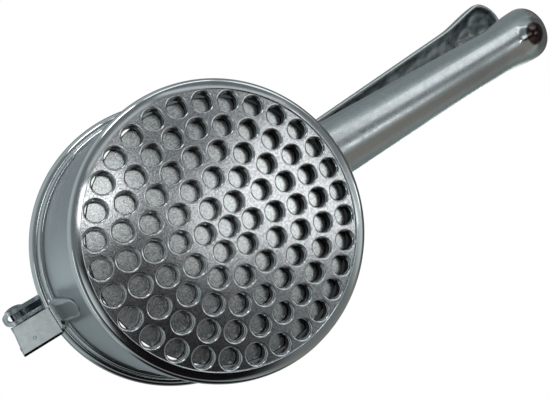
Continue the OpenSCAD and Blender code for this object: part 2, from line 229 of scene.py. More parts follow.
# Rim ring
# A hoop of rolled steel strip round the mouth, with a large and a small bead.
# It is bright plated and seated tight on the wall.
SEAT = 0.05
BEAD_R = 2.3
BEAD_REACH = 2.2
HOOP_R = 1.25
HOOP_DROP = 5.6
HOOP_ARC = (-115, 55)
BEAD_ARC = (-115, 90)
STRIP_FOOT_TURN = 30
ARC_STEPS = 16


def arc(x, y, radius, start, end, steps=ARC_STEPS):
    """Points of an arc between two angles in degrees."""
    angles = [math.radians(start + (end - start) * k / steps) for k in range(steps + 1)]
    return [(x + radius * math.cos(a), y + radius * math.sin(a)) for a in angles]


bead_z = CUP_H - BEAD_R
hoop_z = CUP_H - HOOP_DROP
foot_z = hoop_z - HOOP_R * math.cos(math.radians(STRIP_FOOT_TURN))
ring_outline = [(wall_r(foot_z) + SEAT, foot_z)]
ring_outline += arc(wall_r(hoop_z) + HOOP_R / 2, hoop_z, HOOP_R, *HOOP_ARC)
ring_outline += arc(wall_r(bead_z) + BEAD_REACH, bead_z, BEAD_R, *BEAD_ARC, 2 * ARC_STEPS)
ring_outline += [(MOUTH_R + SEAT, CUP_H)]
add_piece("mouth_ring", "cup_body", "rim_ring", lathe(ring_outline), [bright_nickel])

# Die plate
# A disc of steel sheet with ninety-one punched holes in rings, dropped in on the cup's ledge.
# Each hole has a rolled lower edge and a small step. The face is blasted, so it looks grainy.
PLATE_T = 3.4
PLATE_SLACK = 0.25
PLATE_R = wall_r(LEDGE_T) - WALL - PLATE_SLACK
PLATE_EDGE = 0.3
HOLE_R = 2.75
HOLE_EDGE = 0.44
HOLE_STEP = 0.1
STEP_UP = 0.8
HOLE_PITCH = 7.0
HOLE_RINGS = 5
PLATE_TURN = 13.0
HOLE_STEPS = 48
FLAT_BAND = 0.12
EDGE_STEPS = 4


def rolled_edge(edge):
    """Offset and height of the lower edge of the plate or of a hole: a flat band, then a quarter roll."""
    turns = [math.radians(90 * k / EDGE_STEPS) for k in range(EDGE_STEPS + 1)]
    roll = [(edge * (1 - math.sin(a)), edge * (1 - math.cos(a))) for a in turns]
    return [(edge + FLAT_BAND, 0)] + roll


def plate_shape():
    """The perforated plate, and lists of the faces of its rolled edges and of its bores and upper side."""
    side = [(-out, up) for out, up in rolled_edge(PLATE_EDGE)]
    side += [(out, PLATE_T - up) for out, up in reversed(side)]
    wall = [(HOLE_STEP + out, up) for out, up in rolled_edge(HOLE_EDGE)]
    wall += [(HOLE_STEP, STEP_UP), (0, STEP_UP + HOLE_STEP), (0, PLATE_T)]
    loops = [((0, 0), PLATE_R, TURN_STEPS, side), ((0, 0), HOLE_R, HOLE_STEPS, wall)]
    # Each ring has six holes more than the one inside it
    for ring in range(1, HOLE_RINGS + 1):
        for k in range(6 * ring):
            turn = math.radians(PLATE_TURN + 60 * k / ring)
            middle = (ring * HOLE_PITCH * math.cos(turn), ring * HOLE_PITCH * math.sin(turn))
            loops.append((middle, HOLE_R, HOLE_STEPS, wall))
    verts = []
    faces = []
    rims = []
    rolls = []
    bores = []
    for (x, y), radius, steps, profile in loops:
        first = len(verts)
        for out, up in profile:
            for k in range(steps):
                a = math.tau * k / steps
                r = radius + out
                verts.append((x + r * math.cos(a), y + r * math.sin(a), LEDGE_T + up))
        # Round a hole row 0 is the flat band, then come the roll, a land, the step and the bore
        for row in range(len(profile) - 1):
            for k in range(steps):
                m = (k + 1) % steps
                low = first + row * steps
                if profile is wall and row > EDGE_STEPS + 2:
                    bores.append(len(faces))
                elif profile is wall and row > 0:
                    rolls.append(len(faces))
                faces.append((low + k, low + m, low + steps + m, low + steps + k))
        last = first + (len(profile) - 1) * steps
        rims.append((range(first, first + steps), range(last, last + steps)))
    for end in (0, 1):
        index = [i for rim in rims for i in rim[end]]
        flat = [[Vector((*verts[i][:2], 0)) for i in rim[end]] for rim in rims]
        first = len(faces)
        faces += [tuple(index[i] for i in corner) for corner in tessellate_polygon(flat)]
    bores += range(first, len(faces))
    return (verts, faces), rolls, bores


# Nickel over a blasted face: bright and dim grains in a softly broken mirror that is hazier in patches
blasted_nickel, tree, shader, place = new_finish("blasted_nickel_plate")
# The real grain is about 0.1 mm; it is drawn at 0.35 mm so that it shows
grain = add_node(tree, "ShaderNodeTexNoise", {"Scale": 1 / (0.35 * MM), "Detail": 2.0}, Vector=place)
patch = add_node(tree, "ShaderNodeTexNoise", {"Scale": 1 / (5 * MM), "Detail": 4.0}, Vector=place)
tint = add_node(tree, "ShaderNodeValToRGB", Fac=grain.outputs["Fac"])
tint.color_ramp.elements[0].position = 0.3
tint.color_ramp.elements[0].color = linear("#AEB0B5")
tint.color_ramp.elements[1].position = 0.65
tint.color_ramp.elements[1].color = linear("#EAECEC")
haze = add_node(tree, "ShaderNodeMapRange", {"To Min": 0.14, "To Max": 0.2}, Value=patch.outputs["Fac"])
bump = add_node(tree, "ShaderNodeBump", {
    "Strength": 0.06, "Distance": 0.05 * MM,
}, Height=grain.outputs["Fac"])
tree.links.new(tint.outputs["Color"], shader.inputs["Base Color"])
tree.links.new(haze.outputs["Result"], shader.inputs["Roughness"])
tree.links.new(bump.outputs["Normal"], shader.inputs["Normal"])

# Steel inside the holes and on the upper side, painted near black as the shade in the bores and in the gap
# under the disc, with a dark brown shine and fine rings left by the punch
steel_with_painted_shade, tree, shader, place = new_finish("steel_with_painted_shade")
# The real rings are about 0.1 mm apart; they are drawn 0.5 mm apart so that they show
height = add_node(tree, "ShaderNodeSeparateXYZ", Vector=place).outputs["Z"]
turns = add_node(tree, "ShaderNodeMath", {"operation": "MULTIPLY", 0: height, 1: math.tau / (0.5 * MM)})
ridges = add_node(tree, "ShaderNodeMath", {"operation": "SINE", 0: turns.outputs[0]})
tint = add_node(tree, "ShaderNodeValToRGB", Fac=ridges.outputs[0])
tint.color_ramp.elements[0].color = linear("#0E0C0B")
tint.color_ramp.elements[1].color = linear("#2E2927")
bump = add_node(tree, "ShaderNodeBump", {
    "Strength": 0.15, "Distance": 0.05 * MM,
}, Height=ridges.outputs[0])
shader.inputs["Roughness"].default_value = 0.1
tree.links.new(tint.outputs["Color"], shader.inputs["Base Color"])
tree.links.new(bump.outputs["Normal"], shader.inputs["Normal"])

shape, rolls, bores = plate_shape()
plate_finishes = [blasted_nickel, bright_nickel, steel_with_painted_shade]
plate = add_piece("perforated_plate", "cup_body", "die_plate", shape, plate_finishes)
for face in rolls:
    plate.data.polygons[face].material_index = 1
# Bores and the upper side take the near-black finish of painted shade
for face in bores:
    plate.data.polygons[face].material_index = 2

# Handle saddle
# A curved pad of the same steel sheet, shaped to the wall and spot welded to it.
# It spreads the handle's load.
SADDLE_EDGE = 0.4
BEVEL_STEPS = 3
WELD_GAP = 0.002
NODE_SHARP = 60


def dress_node(node, finishes, edge, sharp=30):
    """Gives a CAD node its finishes and lightly broken edges; its own mesh stays as it is."""
    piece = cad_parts[node]
    weld = piece.modifiers.new("joined_corners", "WELD")
    weld.merge_threshold = WELD_GAP * MM
    bevel = piece.modifiers.new("broken_edges", "BEVEL")
    bevel.width = edge * MM
    bevel.segments = BEVEL_STEPS
    bevel.limit_method = "ANGLE"
    bevel.angle_limit = math.radians(sharp)
    bevel.use_clamp_overlap = True
    dress(piece, finishes, NODE_SHARP)


dress_node("handle_saddle", [satin_nickel], SADDLE_EDGE)

# Cup handle
# A channel pressed from steel sheet, open upwards, with a waist, a domed end and a low boss under it that
# carries a painted dark reflection.
# Its root is welded to the saddle, and two soft creases run out from there.
GRIP_ROOT_R = 12.9
GRIP_WAIST_R = 10.5
GRIP_END_R = 12.4
GRIP_T = 1.8
GRIP_LAP = 3.0
FLARE_L = 25.0
DOME_L = 9.0
DOME_POWER = 1.8
KEEL_SWELL = 0.1
SWELL_FROM = 50.0
SWELL_L = 28.0
KEEL_RISE_L = 22.0
KEEL_POWER = 0.33
KEEL_TIP = 0.4
BALL_BACK = 17.0
BALL_SIDE = 1.3
BALL_R = 8.5
BALL_H = 1.8
# Radius and soft edge of the dark brown reflection painted on the boss
REFLECTION_R = 5.0
REFLECTION_BLUR = 0.4
LIP_H = 0.8
HANDLE_REACH = 196.0
HANDLE_ROOT = 14.0
HANDLE_Z = 58.0
SADDLE_T = 2.0
CREASE_TURN = 28.0
CREASE_W = 5.0
CREASE_H = 0.25
CREASE_L = 75.0
FAN_STEPS = 48
SIDE_STEPS = 64
SECTION_STEPS = 48
LIP_STEPS = 8
HALVINGS = 40
TINY = 1e-6
GRIP_SHARP = 60


def grip_radius(s, length):
    """Outside radius of a grip along its length, from its root to where its dome begins."""
    waist = length - DOME_L - FLARE_L
    if s < waist:
        return GRIP_ROOT_R + (GRIP_WAIST_R - GRIP_ROOT_R) * s / waist
    u = (s - waist) / FLARE_L
    return GRIP_WAIST_R + (GRIP_END_R - GRIP_WAIST_R) * u * u * (3 - 2 * u)


def grip_point(station, tilt, inset):
    """Point of a grip's skin seen from a station's middle, at a tilt from level, inset from outside."""
    s, heading, reach, radius = station
    level = math.cos(tilt)
    along = level * math.cos(heading)
    across = level * math.sin(heading)
    up = math.sin(tilt)
    ahead = (abs(along) / (reach - inset)) ** DOME_POWER
    aside = (math.hypot(across, up) / (radius - inset)) ** DOME_POWER
    size = (ahead + aside) ** (-1 / DOME_POWER)
    if inset == 0 and abs(along) < TINY:
        bend = (math.degrees(tilt) + CREASE_TURN) / CREASE_W
        size += CREASE_H * max(0.0, 1 - s / CREASE_L) * math.exp(-bend * bend)
    return Vector((s + size * along, size * across, size * up))


def grip_half(station, inset):
    """Points from the keel of a grip up to its edge, on the side that a station looks to."""
    low, high = -math.pi / 2, math.pi / 3
    top = GRIP_LAP - LIP_H
    for _ in range(HALVINGS):
        tilt = (low + high) / 2
        if grip_point(station, tilt, inset).z < top:
            low = tilt
        else:
            high = tilt
    keel = -math.pi / 2
    tilts = [keel + (low - keel) * k / SECTION_STEPS for k in range(SECTION_STEPS + 1)]
    return [grip_point(station, tilt, inset) for tilt in tilts]


def keel_depth(x, length):
    """Share of its plain depth that a grip's keel has: it swells near the end and rises to the tip."""
    v = min(max((x - length + SWELL_FROM) / SWELL_L, 0.0), 1.0)
    u = min(max((x - length + KEEL_RISE_L) / (KEEL_RISE_L + KEEL_TIP), 0.0), 1.0)
    return (1 + KEEL_SWELL * v * v * (3 - 2 * v)) * (1 - u * u) ** KEEL_POWER


def ball_height(spot, length):
    """Height of the round boss pressed out under a grip's end."""
    off = (spot.x - length + BALL_BACK) ** 2 + (spot.y - BALL_SIDE) ** 2
    return BALL_H * max(0.0, 1 - off / BALL_R**2) ** 2


def grip_shape(length, start, nose):
    """A channel grip along X: down one side, round the domed end and back; a nose closes its root."""
    widest = length - DOME_L
    run = [widest - (widest - start) * (1 - k / SIDE_STEPS) ** 2 for k in range(SIDE_STEPS + 1)]
    quarter = math.pi / 2
    stations = [(s, quarter, DOME_L, grip_radius(s, length)) for s in run]
    for k in range(1, FAN_STEPS):
        stations.append((widest, quarter - math.pi * k / FAN_STEPS, DOME_L, GRIP_END_R))
    stations += [(s, -quarter, DOME_L, grip_radius(s, length)) for s in reversed(run)]
    if nose:
        for k in range(1, FAN_STEPS):
            stations.append((start, -quarter - math.pi * k / FAN_STEPS, DOME_L, grip_radius(start, length)))
    verts = []
    for station in stations:
        outer = grip_half(station, 0)
        inner = grip_half(station, GRIP_T)
        for spot in outer + inner:
            if spot.z < 0:
                spot.z = spot.z * keel_depth(spot.x, length) - ball_height(spot, length)
        middle = (outer[-1] + inner[-1]) / 2
        half = (outer[-1] - inner[-1]) / 2
        turns = [math.pi * k / LIP_STEPS for k in range(1, LIP_STEPS)]
        lip = [middle + half * math.cos(a) + Vector((0, 0, LIP_H * math.sin(a))) for a in turns]
        verts += outer + lip + inner[::-1]
    count = len(verts) // len(stations)
    faces = []
    for i in range(len(stations) if nose else len(stations) - 1):
        here = i * count
        there = (i + 1) % len(stations) * count
        faces += [(here + k, here + k + 1, there + k + 1, there + k) for k in range(count - 1)]
    if not nose:
        for first in (0, (len(stations) - 1) * count):
            for k in range(count // 2 - 1):
                far = count - 1 - k
                faces.append((first + k, first + k + 1, first + far - 1, first + far))
            if count % 2:
                k = count // 2
                faces.append((first + k - 1, first + k, first + k + 1))
    return verts, faces


# Bright plating on pressed sheet, dulled by handling: streaks along the grip and cloudy wear
handled_nickel, tree, shader, place = new_finish("handled_nickel_plate")
streak_scale = (1 / (40 * MM), 1 / (0.8 * MM), 1 / (0.8 * MM))
along = add_node(tree, "ShaderNodeMapping", {"Scale": streak_scale}, Vector=place)
streak = add_node(tree, "ShaderNodeTexNoise", {"Scale": 1.0, "Detail": 3.0}, Vector=along.outputs["Vector"])
cloud = add_node(tree, "ShaderNodeTexNoise", {"Scale": 1 / (2.5 * MM), "Detail": 5.0}, Vector=place)
tint = add_node(tree, "ShaderNodeValToRGB", Fac=streak.outputs["Fac"])
tint.color_ramp.elements[0].color = linear("#BEC4C7")
tint.color_ramp.elements[1].color = linear("#DDE2E4")
haze = add_node(tree, "ShaderNodeMapRange", {"To Min": 0.12, "To Max": 0.42}, Value=cloud.outputs["Fac"])
bump = add_node(tree, "ShaderNodeBump", {
    "Strength": 0.12, "Distance": 0.04 * MM,
}, Height=streak.outputs["Fac"])
tree.links.new(tint.outputs["Color"], shader.inputs["Base Color"])
tree.links.new(haze.outputs["Result"], shader.inputs["Roughness"])
tree.links.new(bump.outputs["Normal"], shader.inputs["Normal"])


def finish_grip(piece, place, length):
    """Gives the faces that look to a grip's axis its second finish, and its boss the third."""
    back = place.inverted()
    for face in piece.data.polygons:
        spot = back @ (face.center / MM)
        facing = back.to_3x3() @ face.normal
        # Faces looking to the grip's axis take the finish with painted shade in the hollow
        if facing.yz.dot(spot.yz) < 0:
            face.material_index = 1
        # The boss takes the third finish, which on the handle carries a painted dark reflection
        elif spot.z < 0 and ball_height(spot, length) > 0:
            face.material_index = 2


# Boss with a painted dark brown reflection in its middle, cloudy and still shiny, set in bright nickel
boss_painted_reflection, tree, shader, place = new_finish("nickel_with_painted_brown_reflection")
flat = add_node(tree, "ShaderNodeVectorMath", {"operation": "MULTIPLY", 0: place, 1: (1, 1, 0)})
centre = Vector((HANDLE_REACH - BALL_BACK, BALL_SIDE, 0)) * MM
apart = add_node(tree, "ShaderNodeVectorMath", {"operation": "DISTANCE", 0: flat.outputs[0], 1: centre})
clear_of_spot = add_node(tree, "ShaderNodeMapRange", {
    "From Min": (REFLECTION_R - REFLECTION_BLUR) * MM, "From Max": (REFLECTION_R + REFLECTION_BLUR) * MM,
}, Value=apart.outputs["Value"])
cloud = add_node(tree, "ShaderNodeTexNoise", {"Scale": 1 / (2 * MM), "Detail": 4.0}, Vector=place)
tint = add_node(tree, "ShaderNodeValToRGB", Fac=cloud.outputs["Fac"])
tint.color_ramp.elements[0].position = 0.35
tint.color_ramp.elements[0].color = linear("#2C2322")
tint.color_ramp.elements[1].position = 0.7
tint.color_ramp.elements[1].color = linear("#6E6260")
spot_tone = add_node(tree, "ShaderNodeMix", {"data_type": "RGBA", 0: clear_of_spot.outputs["Result"]})
tree.links.new(tint.outputs["Color"], spot_tone.inputs[6])
spot_tone.inputs[7].default_value = linear("#D6DCDD")
haze = add_node(tree, "ShaderNodeMapRange", {"To Min": 0.08, "To Max": 0.2}, Value=cloud.outputs["Fac"])
tree.links.new(spot_tone.outputs[2], shader.inputs["Base Color"])
tree.links.new(haze.outputs["Result"], shader.inputs["Roughness"])

handle_l = HANDLE_REACH - FOOT_R
verts, faces = grip_shape(handle_l, HANDLE_ROOT, nose=False)
handle_verts = []
for v in verts:
    spot = v + Vector((FOOT_R, 0, HANDLE_Z))
    if abs(v.x - HANDLE_ROOT) < TINY:
        spot.x = math.sqrt((wall_r(spot.z) + SADDLE_T + SEAT) ** 2 - spot.y**2)
    handle_verts.append(spot)
handle_shape = (handle_verts, faces)
handle_finishes = [handled_nickel, shaded_inner_nickel, boss_painted_reflection]
handle = add_piece(
    "handle_channel", "cup_body", "cup_handle", handle_shape, handle_finishes, sharp=GRIP_SHARP,
)
finish_grip(handle, Matrix.Translation((FOOT_R, 0, HANDLE_Z)), handle_l)

# Hinge bracket
# One strip of plated sheet: a tongue under the ring that carries the hinge's knuckle, bent down
# into a pad that is spot welded to the wall and narrows towards the foot. A small ring is stamped in.
HINGE_X = -61.5
HINGE_Z = 72.0
KNUCKLE_R = 3.8
KNUCKLE_Y = (-4.1, 3.1)
PIN_R = 2.02
EYE_STEPS = 72
EYE_CORNERS = 4
TONGUE_END = HINGE_X - KNUCKLE_R
TONGUE_LOW = 60.3
TONGUE_T = 2.8
TONGUE_Y = (-4.2, 6.0)
TONGUE_SLANT = 1.3
TONGUE_EDGE = 0.4
TONGUE_STEPS = 8
END_THINNING = 1.5
END_STEPS = 6
SIDE_BEVEL = 0.9
SIDE_SHARE = 0.6
CORNER_R = 0.15
CORNER_SHARE = 0.1
BEND_R = 1.4
BEND_STEPS = 8
PAD_PROUD = 2.4
PAD_END_Z = 18.0
PAD_TOP_Y = (-5.9, 2.5)
PAD_END_Y = (-4.2, 0.8)
PAD_EDGE_T = 0.03
PAD_TIP = 0.2
PAD_TIP_SHARE = 0.05
PAD_STEPS = 24
MARK_X = HINGE_X + 2.0
MARK_Y = 2.1
MARK_R = 0.5
MARK_WIRE = 0.1
BRACKET_SHARP = 50


def bracket_stations():
    """Stations along the strip: place and inward normal in X and Z, thickness, Y range and end share."""
    pad_x = -wall_r(TONGUE_LOW) - PAD_PROUD
    bend_x = pad_x - BEND_R
    bend_z = TONGUE_LOW - BEND_R
    pad_t = -pad_x - wall_r(bend_z) - SEAT
    run = bend_x - TONGUE_END
    stations = []
    for k in range(END_STEPS + 1):
        turn = math.radians(90 * k / END_STEPS)
        back = TONGUE_EDGE * (1 - math.cos(turn))
        round_off = TONGUE_EDGE * (1 - math.sin(turn))
        span = (TONGUE_Y[0] + round_off, TONGUE_Y[1] - round_off)
        spot = (TONGUE_END + back, TONGUE_LOW + round_off)
        stations.append((spot, (0, 1), TONGUE_T - END_THINNING * round_off, span, 1 - back / run))
    for k in range(1, TONGUE_STEPS + 1):
        x = TONGUE_END + TONGUE_EDGE + (run - TONGUE_EDGE) * k / TONGUE_STEPS
        stations.append(((x, TONGUE_LOW), (0, 1), TONGUE_T, TONGUE_Y, 1 - (x - TONGUE_END) / run))
    for k in range(1, BEND_STEPS + 1):
        share = k / BEND_STEPS
        turn = math.radians(90 * share)
        out = (math.sin(turn), math.cos(turn))
        spot = (bend_x + BEND_R * out[0], bend_z + BEND_R * out[1])
        span = tuple(a + (b - a) * share for a, b in zip(TONGUE_Y, PAD_TOP_Y))
        stations.append((spot, out, TONGUE_T + (pad_t - TONGUE_T) * share, span, 0))
    middle = [sum(ends) / 2 for ends in (PAD_TOP_Y, PAD_END_Y)]
    half = [(ends[1] - ends[0]) / 2 for ends in (PAD_TOP_Y, PAD_END_Y)]
    for k in range(1, PAD_STEPS + 1):
        share = k / PAD_STEPS
        z = bend_z + (PAD_END_Z - bend_z) * share
        thick = PAD_EDGE_T + (pad_t - PAD_EDGE_T) * (1 - share * share)
        along_tip = max(0.0, share - 1 + PAD_TIP) / PAD_TIP
        tip = math.sqrt(max(0.0, 1 - along_tip * along_tip))
        y = middle[0] + (middle[1] - middle[0]) * share
        w = (half[0] + (half[1] - half[0]) * share) * max(tip, PAD_TIP_SHARE)
        stations.append(((-wall_r(z) - SEAT - thick, z), (1, 0), thick, (y - w, y + w), 0))
    return stations


def bracket_section(station):
    """Closed outline of the strip at a station, its outer corners rounded."""
    (x, z), (into_x, into_z), thick, (y0, y1), end_share = station
    bevel = min(SIDE_BEVEL, SIDE_SHARE * thick)
    edge = min(CORNER_R, CORNER_SHARE * thick)
    slope = SIDE_SHARE * thick if into_x == 1 else edge
    corners = [
        (y0, slope, edge / 2),
        (y0 + slope, 0, edge / 2),
        (y1 - bevel, 0, edge / 2),
        (y1, bevel, edge / 2),
        (y1, thick, edge),
        (y0, thick, edge),
    ]
    points = []
    for y, deep in rounded(corners):
        lag = TONGUE_SLANT * (TONGUE_Y[1] - y) / (TONGUE_Y[1] - TONGUE_Y[0]) * end_share
        points.append((x + into_x * deep + lag, y, z + into_z * deep))
    return points


def knuckle_radius(angle):
    """Outside radius of the knuckle and its web round the pin, at an angle in the side view."""
    across = math.cos(angle)
    up = math.sin(angle)
    if up >= 0:
        return KNUCKLE_R
    side = KNUCKLE_R if across > 0 else KNUCKLE_R - TONGUE_SLANT
    web = min(side / max(abs(across), TINY), (HINGE_Z - TONGUE_LOW - TONGUE_T / 2) / -up)
    return max(KNUCKLE_R, web)


def bracket_shape():
    """The bent strip, the knuckle with its bore, and the stamped ring."""
    sections = [bracket_section(station) for station in bracket_stations()]
    count = len(sections[0])
    verts = [point for section in sections for point in section]
    faces = [tuple(range(count)), tuple(range(len(verts) - count, len(verts)))]
    for i in range(len(sections) - 1):
        for k in range(count):
            m = (k + 1) % count
            faces.append((i * count + k, i * count + m, (i + 1) * count + m, (i + 1) * count + k))
    first = len(verts)
    near, far = KNUCKLE_Y
    for k in range(EYE_STEPS):
        a = math.tau * k / EYE_STEPS
        outer = knuckle_radius(a)
        for r, y in ((PIN_R, near), (PIN_R, far), (outer, far), (outer, near)):
            verts.append((HINGE_X + r * math.cos(a), y, HINGE_Z + r * math.sin(a)))
    ring_first = len(verts)
    for k in range(EYE_STEPS):
        a = math.tau * k / EYE_STEPS
        for j in range(EYE_CORNERS):
            b = math.tau * j / EYE_CORNERS
            r = MARK_R + MARK_WIRE * math.cos(b)
            z = TONGUE_LOW + MARK_WIRE * math.sin(b)
            verts.append((MARK_X + r * math.cos(a), MARK_Y + r * math.sin(a), z))
    for base in (first, ring_first):
        for k in range(EYE_STEPS):
            here = base + EYE_CORNERS * k
            there = base + EYE_CORNERS * ((k + 1) % EYE_STEPS)
            for j in range(EYE_CORNERS):
                m = (j + 1) % EYE_CORNERS
                faces.append((here + j, here + m, there + m, there + j))
    return verts, faces


# Plating on a pressed strip: a soft mirror, clouded and slightly uneven from handling
pressed_nickel, tree, shader, place = new_finish("pressed_nickel_plate")
cloud = add_node(tree, "ShaderNodeTexNoise", {"Scale": 1 / (3 * MM), "Detail": 4.0}, Vector=place)
tint = add_node(tree, "ShaderNodeValToRGB", Fac=cloud.outputs["Fac"])
tint.color_ramp.elements[0].position = 0.3
tint.color_ramp.elements[0].color = linear("#B4BBBC")
tint.color_ramp.elements[1].position = 0.7
tint.color_ramp.elements[1].color = linear("#E0E5E5")
haze = add_node(tree, "ShaderNodeMapRange", {"To Min": 0.08, "To Max": 0.2}, Value=cloud.outputs["Fac"])
bump = add_node(tree, "ShaderNodeBump", {
    "Strength": 0.15, "Distance": 0.1 * MM,
}, Height=cloud.outputs["Fac"])
tree.links.new(tint.outputs["Color"], shader.inputs["Base Color"])
tree.links.new(haze.outputs["Result"], shader.inputs["Roughness"])
tree.links.new(bump.outputs["Normal"], shader.inputs["Normal"])
bracket_finishes = [pressed_nickel, satin_nickel]
bracket = add_piece(
    "bent_bracket", "cup_body", "hinge_bracket", bracket_shape(), bracket_finishes, sharp=BRACKET_SHARP,
)
for face in bracket.data.polygons:
    if face.center.z < (TONGUE_LOW - BEND_R / 2) * MM:
        face.material_index = 1

# Hinge pin and washer
# A turned steel pin through the bracket's knuckle and the lever's two eyes.
# Its end is peened over a plain washer.
SMALL_EDGE = 0.12

# Turned steel: fine rings round the pin's own axis, a dull shine
turned_steel, tree, shader, place = new_finish("turned_steel")
# The real rings are about 0.1 mm wide; they are drawn 0.3 mm wide so that they show
ring_scale = (1 / (4 * MM), 1 / (0.3 * MM), 1 / (4 * MM))
rings = add_node(tree, "ShaderNodeMapping", {"Scale": ring_scale}, Vector=place)
tool = add_node(tree, "ShaderNodeTexNoise", {"Scale": 1.0, "Detail": 2.0}, Vector=rings.outputs["Vector"])
tint = add_node(tree, "ShaderNodeValToRGB", Fac=tool.outputs["Fac"])
tint.color_ramp.elements[0].color = linear("#8F9396")
tint.color_ramp.elements[1].color = linear("#B9BDBF")
haze = add_node(tree, "ShaderNodeMapRange", {"To Min": 0.28, "To Max": 0.42}, Value=tool.outputs["Fac"])
tree.links.new(tint.outputs["Color"], shader.inputs["Base Color"])
tree.links.new(haze.outputs["Result"], shader.inputs["Roughness"])

for node in ("hinge_pin", "hinge_washer"):
    dress_node(node, [turned_steel], SMALL_EDGE)

# Lever arm
# A channel folded from plated steel sheet, its near eye doubled back on itself.
# It swings on the hinge pin and carries the plunger.
STRIP_EDGE = 0.35
dress_node("lever_arm", [satin_nickel], STRIP_EDGE)

# Lever grip
# The same pressed channel as the cup handle, turned over so that both close into one hand grip.
# It is welded over the tail of the arm and has a domed nose as well as a domed end.
LEVER_GRIP_L = 138.9
NOSE_REACH = 62.0
NOSE_SIDE = 0.1
LEVER_GRIP_Z = 82.0
LEVER_TURN = 5.4
over = Matrix.Translation((NOSE_REACH, NOSE_SIDE, LEVER_GRIP_Z))
over = over @ Matrix.Rotation(math.radians(-LEVER_TURN), 4, "Z") @ Matrix.Rotation(math.pi, 4, "X")
lever_shape = grip_shape(LEVER_GRIP_L, DOME_L, nose=True)
lever_finishes = [handled_nickel, shaded_inner_nickel, bright_nickel]
lever = add_piece(
    "lever_channel", "lever", "lever_grip", lever_shape, lever_finishes, place=over, sharp=GRIP_SHARP,
)
finish_grip(lever, over, LEVER_GRIP_L)

# Plunger pin, washers and clip
# A headed steel pin through the arm and the plunger's yoke, with a washer on each side of the yoke.
# A spring clip in its groove holds it.
for node in ("plunger_pin", "plunger_washers", "plunger_clip"):
    dress_node(node, [turned_steel], SMALL_EDGE)

# Plunger disc
# A pressed steel disc with an upturned edge, its face tumbled, pale and granular.
# The face lies 0.04 mm below the flush ends of its rivets, so that they share no plane with it.
DISC_GAP = 0.86
DISC_CLEAR = 2.05
DISC_Z = LEDGE_T + PLATE_T + DISC_GAP
DISC_T = 2.0
DISC_R = PLATE_R - DISC_CLEAR
DISC_EDGE = 0.3
SKIRT_H = 4.0

# Tumbled steel: a dense fine grain that blurs what it mirrors
tumbled_steel, tree, shader, place = new_finish("tumbled_steel")
# The real grain is about 0.1 mm; it is drawn at 0.45 mm so that it shows
grain = add_node(tree, "ShaderNodeTexNoise", {"Scale": 1 / (0.45 * MM), "Detail": 3.0}, Vector=place)
tint = add_node(tree, "ShaderNodeValToRGB", Fac=grain.outputs["Fac"])
tint.color_ramp.elements[0].position = 0.35
tint.color_ramp.elements[0].color = linear("#CFD6D4")
tint.color_ramp.elements[1].position = 0.62
tint.color_ramp.elements[1].color = linear("#F6FAF9")
haze = add_node(tree, "ShaderNodeMapRange", {"To Min": 0.18, "To Max": 0.26}, Value=grain.outputs["Fac"])
bump = add_node(tree, "ShaderNodeBump", {
    "Strength": 0.05, "Distance": 0.05 * MM,
}, Height=grain.outputs["Fac"])
tree.links.new(tint.outputs["Color"], shader.inputs["Base Color"])
tree.links.new(haze.outputs["Result"], shader.inputs["Roughness"])
tree.links.new(bump.outputs["Normal"], shader.inputs["Normal"])
disc_shape = lathe(rounded([
    (0, DISC_Z, 0),
    (DISC_R, DISC_Z, DISC_EDGE),
    (DISC_R, DISC_Z + SKIRT_H, DISC_EDGE),
    (DISC_R - DISC_T, DISC_Z + SKIRT_H, DISC_EDGE),
    (DISC_R - DISC_T, DISC_Z + DISC_T, 0),
    (0, DISC_Z + DISC_T, 0),
]))
add_piece("pressed_disc", "plunger", "plunger_disc", disc_shape, [tumbled_steel])

# Plunger yoke and rivets
# A plated steel strap bent to a fork and fixed to the disc by two rivets.
# It hangs from the plunger pin.
dress_node("plunger_yoke", [satin_nickel], STRIP_EDGE)
dress_node("plunger_rivets", [tumbled_steel], SMALL_EDGE)

# Studio
# A pale tent above, a dim table side below, and soft panels round the press.
# The camera itself sees plain white behind it.
scene = bpy.context.scene
scene.view_settings.view_transform = "Standard"
world = bpy.data.worlds.new("studio")
scene.world = world
world.use_nodes = True
tree = world.node_tree
tree.nodes.clear()
toward = add_node(tree, "ShaderNodeTexCoord").outputs["Generated"]


def add_zone(tree, below, colour, middle, near, far):
    """Blends a colour into the surroundings round a direction, fading between two angles from it."""
    match = add_node(tree, "ShaderNodeVectorMath", {
        "operation": "DOT_PRODUCT", 0: toward, 1: Vector(middle).normalized(),
    })
    share = add_node(tree, "ShaderNodeMapRange", {
        "interpolation_type": "SMOOTHSTEP",
        "From Min": math.cos(math.radians(far)),
        "From Max": math.cos(math.radians(near)),
    }, Value=match.outputs["Value"])
    blend = add_node(tree, "ShaderNodeMix", {
        "data_type": "RGBA", 0: share.outputs["Result"], 6: below, 7: linear(colour),
    })
    return blend.outputs[2]


